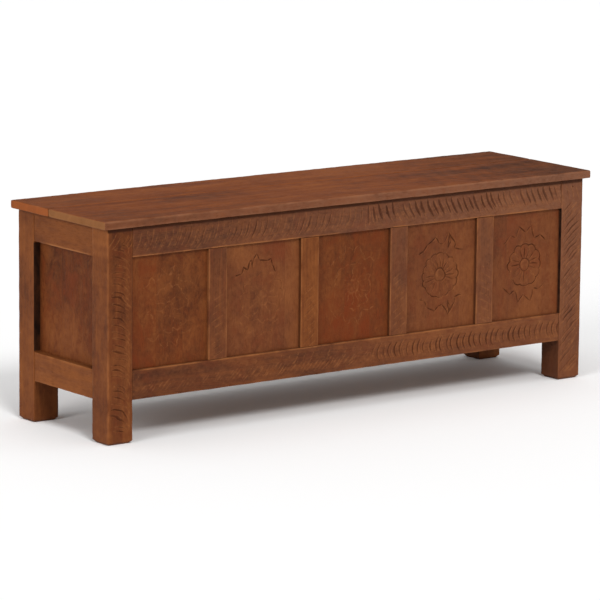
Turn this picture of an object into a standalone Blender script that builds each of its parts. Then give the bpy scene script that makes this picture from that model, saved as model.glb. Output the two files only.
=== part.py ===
"""Storage bench: a joined chest with a five-panel front and a hinged plank lid.

Metres, +Z up. X runs along the bench, the front faces -Y, and the origin is on the floor under the
middle of the lid's outline. Posts, rails and muntins are joined with mortises and tenons, the panels
float in grooves, and the lid turns on two butt hinges let into the rear top rail.
"""

import math

import bmesh
import bpy
from mathutils import Vector

# Overall sizes
BENCH_LENGTH = 1.100
BENCH_DEPTH = 0.300
BENCH_HEIGHT = 0.397

# Clearances
JOINT_GAP = 0.0003  # between pieces that touch
GROOVE_PLAY = 0.0010  # a panel's freedom at the foot of its groove
LID_GAP = 0.0006  # lid underside to carcass top
FLOOR_PLAY = 0.0006  # round and between the floor boards

# Posts
LEG_WIDTH = 0.052  # along X
LEG_DEPTH = 0.050  # along Y
FOOT_CHAMFER = 0.005
EDGE_EASE = 0.0012

# Rails and muntins
RAIL_HEIGHT = 0.053
RAIL_TO_FLOOR = 0.076  # floor to the underside of the bottom rails
RAIL_THICKNESS = 0.022  # front and rear
SIDE_RAIL_THICKNESS = 0.028
RAIL_SET_BACK = 0.001  # behind the faces of the posts
TENON_LENGTH = 0.024
TENON_SHOULDER = 0.007  # on the edge without a groove
TENON_ROOT = 0.004  # how far a tenon's block reaches back into its rail
MUNTIN_WIDTH = 0.040
FRONT_PANELS = 5
REAR_PANELS = 2

# Panels and their grooves
PANEL_THICKNESS = 0.008
PANEL_RECESS = 0.006  # behind the face of the front and rear rails
SIDE_PANEL_RECESS = 0.0135  # behind the face of the side rails
GROOVE_DEPTH = 0.0085
STUB_SHOULDER = 0.001  # muntin stub tenon, inside the muntin's own grooves

# Floor
FLOOR_THICKNESS = 0.009
FLOOR_BOARDS = 3
BEARER_WIDTH = 0.030
BEARER_HEIGHT = 0.018
BEARER_LIFT = 0.006  # above the underside of the bottom rails
BEARER_TENON = 0.008
BEARER_FROM_POST = 0.045  # clear of the posts, for the two outer bearers

# Lid
LID_THICKNESS = 0.015
LID_EASE = 0.002
OVERHANG_SIDE = 0.012
OVERHANG_FRONT = 0.008
OVERHANG_REAR = 0.007
REAR_BOARD_WIDTH = 0.122
BATTEN_FROM_CENTRE = 0.300
BATTEN_WIDTH = 0.036
BATTEN_THICKNESS = 0.015
BATTEN_END_CLEAR = 0.009  # to the inner faces of the top rails, more at the hinge side
BATTEN_SCREW_INSET = 0.024  # from each end of the batten

# Butt hinges
HINGE_FROM_CENTRE = 0.360
HINGE_LENGTH = 0.060
LEAF_WIDTH = 0.020  # from the pin's axis
LEAF_THICKNESS = 0.0015
LEAF_GAP = 0.0003  # between the closed leaves
KNUCKLES = 5
KNUCKLE_RADIUS = 0.0030
PIN_RADIUS = 0.0015
PIN_PLAY = 0.0001
PIN_HEAD_RADIUS = 0.0024
PIN_HEAD_HEIGHT = 0.0010
PIN_BEHIND_POST = 0.00104  # pin axis behind the rear posts, which stops the lid just past upright
RELIEF = 0.0005  # wood cut clear of the turning knuckles

# Screws
SCREW_RADIUS = 0.0015
SCREW_HEAD_RADIUS = 0.0031
SCREW_HEAD_HEIGHT = 0.0018
SCREW_POINT = 0.004
HINGE_SCREW_LENGTH = 0.012
HINGE_SCREW_SPREAD = 0.038  # between the two screws of a leaf
BATTEN_SCREW_LENGTH = 0.025
ROUND_SIDES = 16

# Places worked out from the sizes above
POST_X = BENCH_LENGTH / 2 - OVERHANG_SIDE  # outer faces of the posts
FRONT_Y = -BENCH_DEPTH / 2 + OVERHANG_FRONT
REAR_Y = BENCH_DEPTH / 2 - OVERHANG_REAR
LID_UNDER = BENCH_HEIGHT - LID_THICKNESS
CARCASS_TOP = LID_UNDER - LID_GAP
INNER_POST_X = POST_X - LEG_WIDTH
FRONT_POST_BACK = FRONT_Y + LEG_DEPTH
REAR_POST_FRONT = REAR_Y - LEG_DEPTH
LOW_RAIL = (RAIL_TO_FLOOR, RAIL_TO_FLOOR + RAIL_HEIGHT)
TOP_RAIL = (CARCASS_TOP - RAIL_HEIGHT, CARCASS_TOP)
FRONT_RAIL_Y = (FRONT_Y + RAIL_SET_BACK, FRONT_Y + RAIL_SET_BACK + RAIL_THICKNESS)
REAR_RAIL_Y = (REAR_Y - RAIL_SET_BACK - RAIL_THICKNESS, REAR_Y - RAIL_SET_BACK)
SIDE_RAIL_OUT = POST_X - RAIL_SET_BACK
SIDE_RAIL_IN = SIDE_RAIL_OUT - SIDE_RAIL_THICKNESS
FRONT_TONGUE = (FRONT_RAIL_Y[0] + PANEL_RECESS, FRONT_RAIL_Y[0] + PANEL_RECESS + PANEL_THICKNESS)
REAR_TONGUE = (REAR_RAIL_Y[1] - PANEL_RECESS - PANEL_THICKNESS, REAR_RAIL_Y[1] - PANEL_RECESS)
SIDE_TONGUE = (SIDE_RAIL_OUT - SIDE_PANEL_RECESS - PANEL_THICKNESS, SIDE_RAIL_OUT - SIDE_PANEL_RECESS)
PANEL_REACH = GROOVE_DEPTH - GROOVE_PLAY  # how far a panel enters its groove
TENON_GROOVE_SIDE = GROOVE_DEPTH + 0.0015  # shoulder on the grooved edge
PIN_Y = REAR_Y + PIN_BEHIND_POST
PIN_Z = CARCASS_TOP + LID_GAP / 2
BEARER_TOP = RAIL_TO_FLOOR + BEARER_LIFT + BEARER_HEIGHT
FLOOR_UNDER = BEARER_TOP + JOINT_GAP


# ---------------------------------------------------------------- helpers

def clear_scene():
    for obj in list(bpy.data.objects):
        bpy.data.objects.remove(obj, do_unlink=True)


def finish(name, colour, roughness, metallic=0.0):
    """A plain material of one colour."""
    made = bpy.data.materials.new(name)
    made.use_nodes = True
    shader = made.node_tree.nodes["Principled BSDF"]
    shader.inputs["Base Color"].default_value = (*colour, 1.0)
    shader.inputs["Roughness"].default_value = roughness
    shader.inputs["Metallic"].default_value = metallic
    made.diffuse_color = (*colour, 1.0)
    return made


def world_origin(obj):
    """World position of an object whose parents are all unturned."""
    at = Vector((0.0, 0.0, 0.0))
    while obj:
        at += obj.location
        obj = obj.parent
    return at


def linked(name, mesh, centre, parent=None, material=None):
    """A new object with this mesh, standing at a world position under its parent."""
    obj = bpy.data.objects.new(name, mesh)
    bpy.context.scene.collection.objects.link(obj)
    obj.parent = parent
    obj.location = Vector(centre) - world_origin(parent)
    if material:
        mesh.materials.append(material)
    return obj


def add_box(bm, low, high):
    """Adds a box between two corners and returns its vertices."""
    low, high = Vector(low), Vector(high)
    made = bmesh.ops.create_cube(bm, size=1.0)["verts"]
    for vertex in made:
        vertex.co = (low + high) / 2 + vertex.co * (high - low)
    return made


def mesh_from(bm, name):
    bmesh.ops.recalc_face_normals(bm, faces=bm.faces)
    mesh = bpy.data.meshes.new(name)
    bm.to_mesh(mesh)
    bm.free()
    return mesh


def ease_edges(bm, width, chosen, segments=2):
    """Rounds the edges for which chosen(direction, midpoint) is true."""
    picked = []
    for edge in bm.edges:
        a, b = (vertex.co for vertex in edge.verts)
        if chosen((b - a).normalized(), (a + b) / 2):
            picked.append(edge)
    bmesh.ops.bevel(bm, geom=picked, offset=width, segments=segments, profile=0.5, affect="EDGES")


def along(axis):
    """Chooses the edges that run along one axis, given as 0, 1 or 2."""
    return lambda direction, midpoint: abs(direction[axis]) > 0.9


def board(name, low, high, material, eased, width=EDGE_EASE, parent=None):
    """A planed board between two world corners, with the chosen edges rounded."""
    low, high = Vector(low), Vector(high)
    centre = (low + high) / 2
    bm = bmesh.new()
    add_box(bm, low - centre, high - centre)
    if eased:
        ease_edges(bm, width, eased)
    return linked(name, mesh_from(bm, name), centre, parent, material)


def shape_with(obj, mesh, operation):
    """Joins a mesh to an object or cuts it away. The helper rides on the object and is never shown."""
    helper = linked(f"{obj.name}_{operation.lower()}_{len(obj.modifiers)}", mesh, world_origin(obj), obj)
    helper.display_type = "WIRE"
    helper.hide_render = True
    modifier = obj.modifiers.new(helper.name, "BOOLEAN")
    modifier.operation = operation
    modifier.solver = "EXACT"
    modifier.object = helper


def boxes_mesh(obj, boxes):
    """One helper mesh of separate boxes, given by world corners, in the object's own coordinates."""
    at = world_origin(obj)
    bm = bmesh.new()
    for low, high in boxes:
        add_box(bm, Vector(low) - at, Vector(high) - at)
    return mesh_from(bm, f"{obj.name}_boxes")


def join_boxes(obj, boxes):
    shape_with(obj, boxes_mesh(obj, boxes), "UNION")


def cut_boxes(obj, boxes):
    shape_with(obj, boxes_mesh(obj, boxes), "DIFFERENCE")


def add_turned(bm, profile, at=(0, 0, 0), axis="Z", sides=ROUND_SIDES, flip=False):
    """Adds a solid turned about an axis through at. The profile holds (radius, height) pairs from one
    end of the axis to the other, and both ends have radius 0."""
    rings = []
    for radius, height in profile:
        count = sides if radius > 0 else 1
        ring = []
        for k in range(count):
            angle = 2 * math.pi * (k + 0.5) / sides
            along_axis = -height if flip else height
            x, y = radius * math.cos(angle), radius * math.sin(angle)
            point = (x, y, along_axis) if axis == "Z" else (along_axis, x, y)
            ring.append(bm.verts.new(Vector(at) + Vector(point)))
        rings.append(ring)
    for upper, lower in zip(rings, rings[1:]):
        for k in range(sides):
            n = (k + 1) % sides
            corners = [upper[k % len(upper)], lower[k % len(lower)], lower[n % len(lower)], upper[n % len(upper)]]
            bm.faces.new(list(dict.fromkeys(corners)))


def cylinder_profile(radius, low, high):
    return [(0, low), (radius, low), (radius, high), (0, high)]


def smooth_round(mesh):
    mesh.shade_smooth()
    mesh.set_sharp_from_angle(angle=math.radians(35))


# ---------------------------------------------------------------- carcass

def panel_openings(count):
    """The clear spaces between the posts and the muntins of a front or rear frame, as (left, right)."""
    clear = 2 * INNER_POST_X
    width = (clear - (count - 1) * MUNTIN_WIDTH) / count
    starts = [-INNER_POST_X + k * (width + MUNTIN_WIDTH) for k in range(count)]
    return [(start, start + width) for start in starts]


def widened(span, by):
    return span[0] - by, span[1] + by


def tenon_height(rail_z, grooved_above):
    """Lowest and highest point of a tenon on a rail whose groove is in its upper or its lower edge."""
    if grooved_above:
        return rail_z[0] + TENON_SHOULDER, rail_z[1] - TENON_GROOVE_SIDE
    return rail_z[0] + TENON_GROOVE_SIDE, rail_z[1] - TENON_SHOULDER


def make_leg(name, side, front, material):
    """A square post. side is -1 for the left and 1 for the right; front is true for a front post."""
    x_span = sorted((side * POST_X, side * INNER_POST_X))
    y_span = (FRONT_Y, FRONT_POST_BACK) if front else (REAR_POST_FRONT, REAR_Y)
    low, high = Vector((x_span[0], y_span[0], 0.0)), Vector((x_span[1], y_span[1], CARCASS_TOP))
    centre = (low + high) / 2
    bm = bmesh.new()
    add_box(bm, low - centre, high - centre)
    foot = low.z - centre.z
    ease_edges(bm, FOOT_CHAMFER, lambda direction, middle: middle.z < foot + 1e-6)
    ease_edges(bm, EDGE_EASE, lambda direction, middle: abs(direction.z) > 0.9 and middle.z > foot + 0.05)
    leg = linked(name, mesh_from(bm, name), centre, None, material)

    tongue = FRONT_TONGUE if front else REAR_TONGUE
    tongue_y = widened(tongue, JOINT_GAP)
    side_x = sorted(side * x for x in widened(SIDE_TONGUE, JOINT_GAP))
    inner_x = side * INNER_POST_X
    inner_y = FRONT_POST_BACK if front else REAR_POST_FRONT
    into_y = -1 if front else 1  # from the inner face into the post
    past = 0.002
    depth = TENON_LENGTH + JOINT_GAP

    def along_x(z_span, reach):
        x = sorted((inner_x - side * past, inner_x + side * reach))
        return (x[0], tongue_y[0], z_span[0]), (x[1], tongue_y[1], z_span[1])

    def along_y(z_span, reach):
        y = sorted((inner_y - into_y * past, inner_y + into_y * reach))
        return (side_x[0], y[0], z_span[0]), (side_x[1], y[1], z_span[1])

    groove_z = (LOW_RAIL[1] - GROOVE_DEPTH, TOP_RAIL[0] + GROOVE_DEPTH)
    low_z = widened(tenon_height(LOW_RAIL, True), JOINT_GAP)
    top_z = widened(tenon_height(TOP_RAIL, False), JOINT_GAP)
    cut_boxes(leg, [along_x(low_z, depth), along_x(top_z, depth), along_y(low_z, depth), along_y(top_z, depth)])
    cut_boxes(leg, [along_x(groove_z, GROOVE_DEPTH), along_y(groove_z, GROOVE_DEPTH)])
    return leg


def make_long_rail(name, y_span, tongue, rail_z, grooved_above, material):
    """A front or rear rail between two posts, with a tenon at each end and a groove for the panels."""
    end = INNER_POST_X - JOINT_GAP
    rail = board(name, (-end, y_span[0], rail_z[0]), (end, y_span[1], rail_z[1]), material, along(0))
    z = tenon_height(rail_z, grooved_above)
    reach = INNER_POST_X + TENON_LENGTH
    join_boxes(rail, [
        ((-reach, tongue[0], z[0]), (-end + TENON_ROOT, tongue[1], z[1])),
        ((end - TENON_ROOT, tongue[0], z[0]), (reach, tongue[1], z[1])),
    ])
    groove = groove_span(rail_z, grooved_above)
    y = widened(tongue, JOINT_GAP)
    cut_boxes(rail, [((-reach, y[0], groove[0]), (reach, y[1], groove[1]))])
    return rail


def groove_span(rail_z, grooved_above):
    """Height range that the panel groove takes from a rail, running a little past its edge."""
    past = 0.002
    if grooved_above:
        return rail_z[1] - GROOVE_DEPTH, rail_z[1] + past
    return rail_z[0] - past, rail_z[0] + GROOVE_DEPTH


def make_side_rail(name, side, rail_z, grooved_above, material):
    """A short rail between a front and a rear post."""
    x = sorted((side * SIDE_RAIL_IN, side * SIDE_RAIL_OUT))
    front_end, rear_end = FRONT_POST_BACK + JOINT_GAP, REAR_POST_FRONT - JOINT_GAP
    rail = board(name, (x[0], front_end, rail_z[0]), (x[1], rear_end, rail_z[1]), material, along(1))
    tongue = sorted(side * t for t in SIDE_TONGUE)
    z = tenon_height(rail_z, grooved_above)
    front_tip, rear_tip = FRONT_POST_BACK - TENON_LENGTH, REAR_POST_FRONT + TENON_LENGTH
    join_boxes(rail, [
        ((tongue[0], front_tip, z[0]), (tongue[1], front_end + TENON_ROOT, z[1])),
        ((tongue[0], rear_end - TENON_ROOT, z[0]), (tongue[1], rear_tip, z[1])),
    ])
    groove = groove_span(rail_z, grooved_above)
    wide = widened(tongue, JOINT_GAP)
    cut_boxes(rail, [((wide[0], front_tip, groove[0]), (wide[1], rear_tip, groove[1]))])
    return rail


def make_muntin(name, left, y_span, tongue, material):
    """An upright between two panels, grooved on both sides, with stub tenons in the rails' grooves."""
    right = left + MUNTIN_WIDTH
    z = (LOW_RAIL[1] + JOINT_GAP, TOP_RAIL[0] - JOINT_GAP)
    muntin = board(name, (left, y_span[0], z[0]), (right, y_span[1], z[1]), material, along(2))
    inset = GROOVE_DEPTH + STUB_SHOULDER
    stub = (left + inset, right - inset)
    join_boxes(muntin, [
        ((stub[0], tongue[0], LOW_RAIL[1] - PANEL_REACH), (stub[1], tongue[1], z[0] + TENON_ROOT)),
        ((stub[0], tongue[0], z[1] - TENON_ROOT), (stub[1], tongue[1], TOP_RAIL[0] + PANEL_REACH)),
    ])
    y = widened(tongue, JOINT_GAP)
    past = 0.002
    tall = (z[0] - GROOVE_DEPTH, z[1] + GROOVE_DEPTH)
    cut_boxes(muntin, [
        ((left - past, y[0], tall[0]), (left + GROOVE_DEPTH, y[1], tall[1])),
        ((right - GROOVE_DEPTH, y[0], tall[0]), (right + past, y[1], tall[1])),
    ])
    return muntin


def make_frame(face, count, y_span, tongue, materials):
    """A front or rear frame: two rails, the muntins between its panels, and the panels."""
    frame_wood, panel_wood = materials
    top = make_long_rail(f"{face}_top_rail", y_span, tongue, TOP_RAIL, False, frame_wood)
    bottom = make_long_rail(f"{face}_bottom_rail", y_span, tongue, LOW_RAIL, True, frame_wood)
    openings = panel_openings(count)
    z = widened((LOW_RAIL[1], TOP_RAIL[0]), PANEL_REACH)
    for k, opening in enumerate(openings):
        x = widened(opening, PANEL_REACH)
        board(f"{face}_panel_{k + 1}", (x[0], tongue[0], z[0]), (x[1], tongue[1], z[1]), panel_wood, None)
    for k, opening in enumerate(openings[:-1]):
        label = f"{face}_muntin_{k + 1}" if count > 2 else f"{face}_muntin"
        make_muntin(label, opening[1], y_span, tongue, frame_wood)
    return top, bottom


def make_side(word, side, materials):
    frame_wood, panel_wood = materials
    make_side_rail(f"{word}_top_rail", side, TOP_RAIL, False, frame_wood)
    make_side_rail(f"{word}_bottom_rail", side, LOW_RAIL, True, frame_wood)
    x = sorted(side * t for t in SIDE_TONGUE)
    y = widened((FRONT_POST_BACK, REAR_POST_FRONT), PANEL_REACH)
    z = widened((LOW_RAIL[1], TOP_RAIL[0]), PANEL_REACH)
    board(f"{word}_panel", (x[0], y[0], z[0]), (x[1], y[1], z[1]), panel_wood, None)


# ---------------------------------------------------------------- floor

def bearer_places():
    outer = INNER_POST_X - BEARER_FROM_POST - BEARER_WIDTH / 2
    return {"left": -outer, "middle": 0.0, "right": outer}


def make_bearers(front_rail, rear_rail, material):
    """Cross bars under the floor, with stub tenons in the bottom rails."""
    inside = (FRONT_RAIL_Y[1], REAR_RAIL_Y[0])
    z = (BEARER_TOP - BEARER_HEIGHT, BEARER_TOP)
    shoulder = BEARER_HEIGHT / 4
    stub_z = (z[0] + shoulder, z[1] - shoulder)
    sockets = []
    for word, x in bearer_places().items():
        half = BEARER_WIDTH / 2
        y = (inside[0] + JOINT_GAP, inside[1] - JOINT_GAP)
        bearer = board(f"floor_bearer_{word}", (x - half, y[0], z[0]), (x + half, y[1], z[1]), material, along(1))
        stub_x = (x - half + shoulder, x + half - shoulder)
        join_boxes(bearer, [
            ((stub_x[0], inside[0] - BEARER_TENON, stub_z[0]), (stub_x[1], y[0] + TENON_ROOT, stub_z[1])),
            ((stub_x[0], y[1] - TENON_ROOT, stub_z[0]), (stub_x[1], inside[1] + BEARER_TENON, stub_z[1])),
        ])
        sockets.append((widened(stub_x, JOINT_GAP), widened(stub_z, JOINT_GAP)))
    past = 0.002
    reach = BEARER_TENON + JOINT_GAP
    for rail, face, into in ((front_rail, inside[0], -1), (rear_rail, inside[1], 1)):
        y = sorted((face - into * past, face + into * reach))
        cut_boxes(rail, [((x[0], y[0], height[0]), (x[1], y[1], height[1])) for x, height in sockets])


def make_floor(material):
    """Boards laid lengthwise on the bearers. The outer two are notched round the posts."""
    y_low, y_high = FRONT_RAIL_Y[1] + FLOOR_PLAY, REAR_RAIL_Y[0] - FLOOR_PLAY
    width = (y_high - y_low - (FLOOR_BOARDS - 1) * FLOOR_PLAY) / FLOOR_BOARDS
    end = SIDE_RAIL_IN - FLOOR_PLAY
    z = (FLOOR_UNDER, FLOOR_UNDER + FLOOR_THICKNESS)
    for k, word in enumerate(("front", "middle", "rear")):
        start = y_low + k * (width + FLOOR_PLAY)
        plank = board(f"floor_board_{word}", (-end, start, z[0]), (end, start + width, z[1]), material, None)
        if word == "middle":
            continue
        past = 0.01
        reach = INNER_POST_X - FLOOR_PLAY
        if word == "front":
            y = (start - past, FRONT_POST_BACK + FLOOR_PLAY)
        else:
            y = (REAR_POST_FRONT - FLOOR_PLAY, start + width + past)
        cut_boxes(plank, [
            ((-end - past, y[0], z[0] - past), (-reach, y[1], z[1] + past)),
            ((reach, y[0], z[0] - past), (end + past, y[1], z[1] + past)),
        ])


# ---------------------------------------------------------------- lid and hinges

def screw_profile(length):
    """Countersunk screw, head face at height 0, point downwards."""
    return [
        (0, 0),
        (SCREW_HEAD_RADIUS, 0),
        (SCREW_HEAD_RADIUS, -SCREW_HEAD_HEIGHT / 6),
        (SCREW_RADIUS, -SCREW_HEAD_HEIGHT),
        (SCREW_RADIUS, -length + SCREW_POINT),
        (0, -length),
    ]


def screw_hole_profile(length):
    """The room that a screw needs, open above its head."""
    above = 0.002
    head = SCREW_HEAD_RADIUS + JOINT_GAP
    shank = SCREW_RADIUS + JOINT_GAP
    return [
        (0, above),
        (head, above),
        (head, -SCREW_HEAD_HEIGHT / 6 - JOINT_GAP),
        (shank, -SCREW_HEAD_HEIGHT - JOINT_GAP),
        (shank, -length + SCREW_POINT),
        (0, -length - JOINT_GAP),
    ]


def cut_screw_holes(obj, places, length, upwards):
    """Cuts the holes for screws with their heads at these places, driven up or down."""
    at = world_origin(obj)
    bm = bmesh.new()
    for place in places:
        add_turned(bm, screw_hole_profile(length), Vector(place) - at, sides=ROUND_SIDES, flip=upwards)
    shape_with(obj, mesh_from(bm, f"{obj.name}_screw_holes"), "DIFFERENCE")


def make_screw(name, place, length, upwards, material, parent=None):
    bm = bmesh.new()
    add_turned(bm, screw_profile(length), flip=upwards)
    mesh = mesh_from(bm, name)
    smooth_round(mesh)
    return linked(name, mesh, place, parent, material)


def make_lid_boards(pivot, material):
    """The two planks of the lid, eased all round but not along the joint between them."""
    half = BENCH_LENGTH / 2
    seam = BENCH_DEPTH / 2 - REAR_BOARD_WIDTH
    spans = {
        "lid_board_front": (-BENCH_DEPTH / 2, seam - JOINT_GAP / 2),
        "lid_board_rear": (seam + JOINT_GAP / 2, BENCH_DEPTH / 2),
    }
    made = {}
    for name, y in spans.items():
        middle = (y[0] + y[1]) / 2
        outer = y[0] if name == "lid_board_front" else y[1]

        def outside(direction, midpoint, edge=outer - middle):
            return abs(direction.x) < 0.9 and abs(direction.z) < 0.9 or abs(midpoint.y - edge) < 1e-6

        made[name] = board(
            name, (-half, y[0], LID_UNDER), (half, y[1], BENCH_HEIGHT), material, outside, LID_EASE, pivot
        )
    return made["lid_board_front"], made["lid_board_rear"]


def make_battens(pivot, front_board, rear_board, wood, steel):
    """Two cross battens that hold the lid's planks flat, each with three screws from below."""
    top = LID_UNDER - JOINT_GAP
    face = top - BATTEN_THICKNESS
    y = (FRONT_RAIL_Y[1] + BATTEN_END_CLEAR, REAR_RAIL_Y[0] - 2 * BATTEN_END_CLEAR)
    seam = BENCH_DEPTH / 2 - REAR_BOARD_WIDTH
    screw_y = (y[0] + BATTEN_SCREW_INSET, seam / 2 - BATTEN_SCREW_INSET, y[1] - BATTEN_SCREW_INSET)
    in_front, in_rear = [], []
    for word, x in (("left", -BATTEN_FROM_CENTRE), ("right", BATTEN_FROM_CENTRE)):
        half = BATTEN_WIDTH / 2
        batten = board(
            f"lid_batten_{word}", (x - half, y[0], face), (x + half, y[1], top), wood,
            lambda direction, midpoint: midpoint.z < 0, LID_EASE, pivot,
        )
        places = [(x, place, face) for place in screw_y]
        cut_screw_holes(batten, places, BATTEN_SCREW_LENGTH, True)
        for k, place in enumerate(places):
            make_screw(f"batten_screw_{word}_{k + 1}", place, BATTEN_SCREW_LENGTH, True, steel, pivot)
            (in_front if place[1] < seam else in_rear).append(place)
    cut_screw_holes(front_board, in_front, BATTEN_SCREW_LENGTH, True)
    cut_screw_holes(rear_board, in_rear, BATTEN_SCREW_LENGTH, True)


def knuckle_spans(first, x):
    """The stretches along X that one leaf's knuckles take, every second one from first."""
    pitch = HINGE_LENGTH / KNUCKLES
    start = x - HINGE_LENGTH / 2
    spans = [(start + k * pitch, start + (k + 1) * pitch) for k in range(first, KNUCKLES, 2)]
    return [(a + JOINT_GAP / 2, b - JOINT_GAP / 2) for a, b in spans]


def make_leaf(name, x, moving, material, parent):
    """One leaf of a butt hinge: a plate, the tabs that reach its knuckles, and the bored knuckles."""
    up = 1 if moving else -1
    z = sorted((PIN_Z + up * LEAF_GAP / 2, PIN_Z + up * (LEAF_GAP / 2 + LEAF_THICKNESS)))
    plate_y = (PIN_Y - LEAF_WIDTH, PIN_Y - KNUCKLE_RADIUS - RELIEF)
    half = HINGE_LENGTH / 2
    leaf = board(name, (x - half, plate_y[0], z[0]), (x + half, plate_y[1], z[1]), material, None, parent=parent)
    spans = knuckle_spans(1 if moving else 0, x)
    bore = PIN_RADIUS + PIN_PLAY
    tab_y = (plate_y[1] - 0.002, PIN_Y - (bore + KNUCKLE_RADIUS) / 2)
    join_boxes(leaf, [((a, tab_y[0], z[0]), (b, tab_y[1], z[1])) for a, b in spans])

    at = world_origin(leaf)
    axis = Vector((0, PIN_Y, PIN_Z)) - Vector((0, at.y, at.z))
    bm = bmesh.new()
    for a, b in spans:
        add_turned(bm, cylinder_profile(KNUCKLE_RADIUS, a - at.x, b - at.x), axis, "X")
    shape_with(leaf, mesh_from(bm, f"{name}_knuckles"), "UNION")
    bm = bmesh.new()
    past = 0.002
    add_turned(bm, cylinder_profile(bore, -half - past, half + past), axis, "X")
    shape_with(leaf, mesh_from(bm, f"{name}_bore"), "DIFFERENCE")
    return leaf


def hinge_screw_places(x, moving):
    face = PIN_Z + (LEAF_GAP / 2 if moving else -LEAF_GAP / 2)
    y = (PIN_Y - LEAF_WIDTH + PIN_Y - KNUCKLE_RADIUS - RELIEF) / 2
    return [(x + s * HINGE_SCREW_SPREAD / 2, y, face) for s in (-1, 1)]


def make_hinge_pin(name, x, material):
    half = HINGE_LENGTH / 2 + JOINT_GAP
    tip = half + PIN_HEAD_HEIGHT
    shoulder = PIN_HEAD_RADIUS * 0.6
    profile = [
        (0, -tip), (shoulder, -tip), (PIN_HEAD_RADIUS, -half - PIN_HEAD_HEIGHT / 2), (PIN_HEAD_RADIUS, -half),
        (PIN_RADIUS, -half), (PIN_RADIUS, half),
        (PIN_HEAD_RADIUS, half), (PIN_HEAD_RADIUS, half + PIN_HEAD_HEIGHT / 2), (shoulder, tip), (0, tip),
    ]
    bm = bmesh.new()
    add_turned(bm, profile, axis="X")
    mesh = mesh_from(bm, name)
    smooth_round(mesh)
    return linked(name, mesh, (x, PIN_Y, PIN_Z), None, material)


def let_in_hinge(wood, x, upwards, depth):
    """Cuts a hinge's seat from the rail or the lid: a shallow bed for the leaf and a round for the knuckles."""
    half = HINGE_LENGTH / 2 + JOINT_GAP
    room = PIN_HEAD_HEIGHT + 2 * JOINT_GAP
    front = PIN_Y - LEAF_WIDTH - JOINT_GAP
    past = 0.004
    bed = PIN_Z + (depth if upwards else -depth)
    z = sorted((bed, PIN_Z - (past if upwards else -past)))
    cut_boxes(wood, [((x - half, front, z[0]), (x + half, PIN_Y, z[1]))])
    at = world_origin(wood)
    bm = bmesh.new()
    reach = half + room
    profile = cylinder_profile(KNUCKLE_RADIUS + RELIEF, x - reach - at.x, x + reach - at.x)
    add_turned(bm, profile, Vector((0, PIN_Y - at.y, PIN_Z - at.z)), "X")
    shape_with(wood, mesh_from(bm, f"{wood.name}_knuckle_room"), "DIFFERENCE")


def make_hinges(pivot, rear_rail, rear_board, steel):
    """Two butt hinges. The fixed leaf is let into the rear top rail and the moving leaf into the lid."""
    depth = LEAF_GAP / 2 + LEAF_THICKNESS + JOINT_GAP
    for word, x in (("left", -HINGE_FROM_CENTRE), ("right", HINGE_FROM_CENTRE)):
        make_hinge_pin(f"hinge_pin_{word}", x, steel)
        for moving, wood, kind in ((False, rear_rail, "fixed"), (True, rear_board, "moving")):
            parent = pivot if moving else None
            leaf = make_leaf(f"hinge_leaf_{kind}_{word}", x, moving, steel, parent)
            places = hinge_screw_places(x, moving)
            let_in_hinge(wood, x, moving, depth)
            cut_screw_holes(wood, places, HINGE_SCREW_LENGTH, moving)
            cut_screw_holes(leaf, places, HINGE_SCREW_LENGTH, moving)
            for k, place in enumerate(places):
                name = f"hinge_screw_{kind}_{word}_{k + 1}"
                make_screw(name, place, HINGE_SCREW_LENGTH, moving, steel, parent)


def main():
    clear_scene()
    frame_wood = finish("stained_frame_wood", (0.20, 0.075, 0.032), 0.42)
    panel_wood = finish("stained_panel_wood", (0.23, 0.085, 0.032), 0.42)
    lid_wood = finish("stained_lid_wood", (0.20, 0.080, 0.040), 0.36)
    inner_wood = finish("unstained_inner_wood", (0.33, 0.20, 0.11), 0.65)
    steel = finish("hinge_steel", (0.42, 0.36, 0.24), 0.38, 1.0)
    woods = (frame_wood, panel_wood)

    make_leg("front_left_leg", -1, True, frame_wood)
    make_leg("front_right_leg", 1, True, frame_wood)
    make_leg("rear_left_leg", -1, False, frame_wood)
    make_leg("rear_right_leg", 1, False, frame_wood)
    _, front_bottom = make_frame("front", FRONT_PANELS, FRONT_RAIL_Y, FRONT_TONGUE, woods)
    rear_top, rear_bottom = make_frame("rear", REAR_PANELS, REAR_RAIL_Y, REAR_TONGUE, woods)
    make_side("left", -1, woods)
    make_side("right", 1, woods)
    make_bearers(front_bottom, rear_bottom, inner_wood)
    make_floor(inner_wood)

    pivot = linked("lid_pivot", None, (0.0, PIN_Y, PIN_Z))
    front_board, rear_board = make_lid_boards(pivot, lid_wood)
    make_battens(pivot, front_board, rear_board, inner_wood, steel)
    make_hinges(pivot, rear_top, rear_board, steel)


main()
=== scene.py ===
import math

import bpy
import numpy as np
from mathutils import Matrix, Vector


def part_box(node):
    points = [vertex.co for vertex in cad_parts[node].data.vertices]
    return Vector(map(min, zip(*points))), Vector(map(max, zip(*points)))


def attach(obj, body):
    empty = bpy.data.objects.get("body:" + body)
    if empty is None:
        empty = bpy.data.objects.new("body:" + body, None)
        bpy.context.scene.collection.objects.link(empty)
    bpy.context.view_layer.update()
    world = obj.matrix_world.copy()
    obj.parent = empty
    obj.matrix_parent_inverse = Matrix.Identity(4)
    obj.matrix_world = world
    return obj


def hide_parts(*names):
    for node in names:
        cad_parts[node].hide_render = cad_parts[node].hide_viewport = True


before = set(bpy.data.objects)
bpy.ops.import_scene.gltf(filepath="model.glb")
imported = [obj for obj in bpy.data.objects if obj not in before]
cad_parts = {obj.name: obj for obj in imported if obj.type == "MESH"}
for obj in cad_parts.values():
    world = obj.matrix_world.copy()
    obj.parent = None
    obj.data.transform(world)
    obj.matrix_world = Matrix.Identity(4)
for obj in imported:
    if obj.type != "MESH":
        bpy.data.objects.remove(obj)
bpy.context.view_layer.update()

MM = 0.001
POST_WIDTH = 52 * MM
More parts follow.
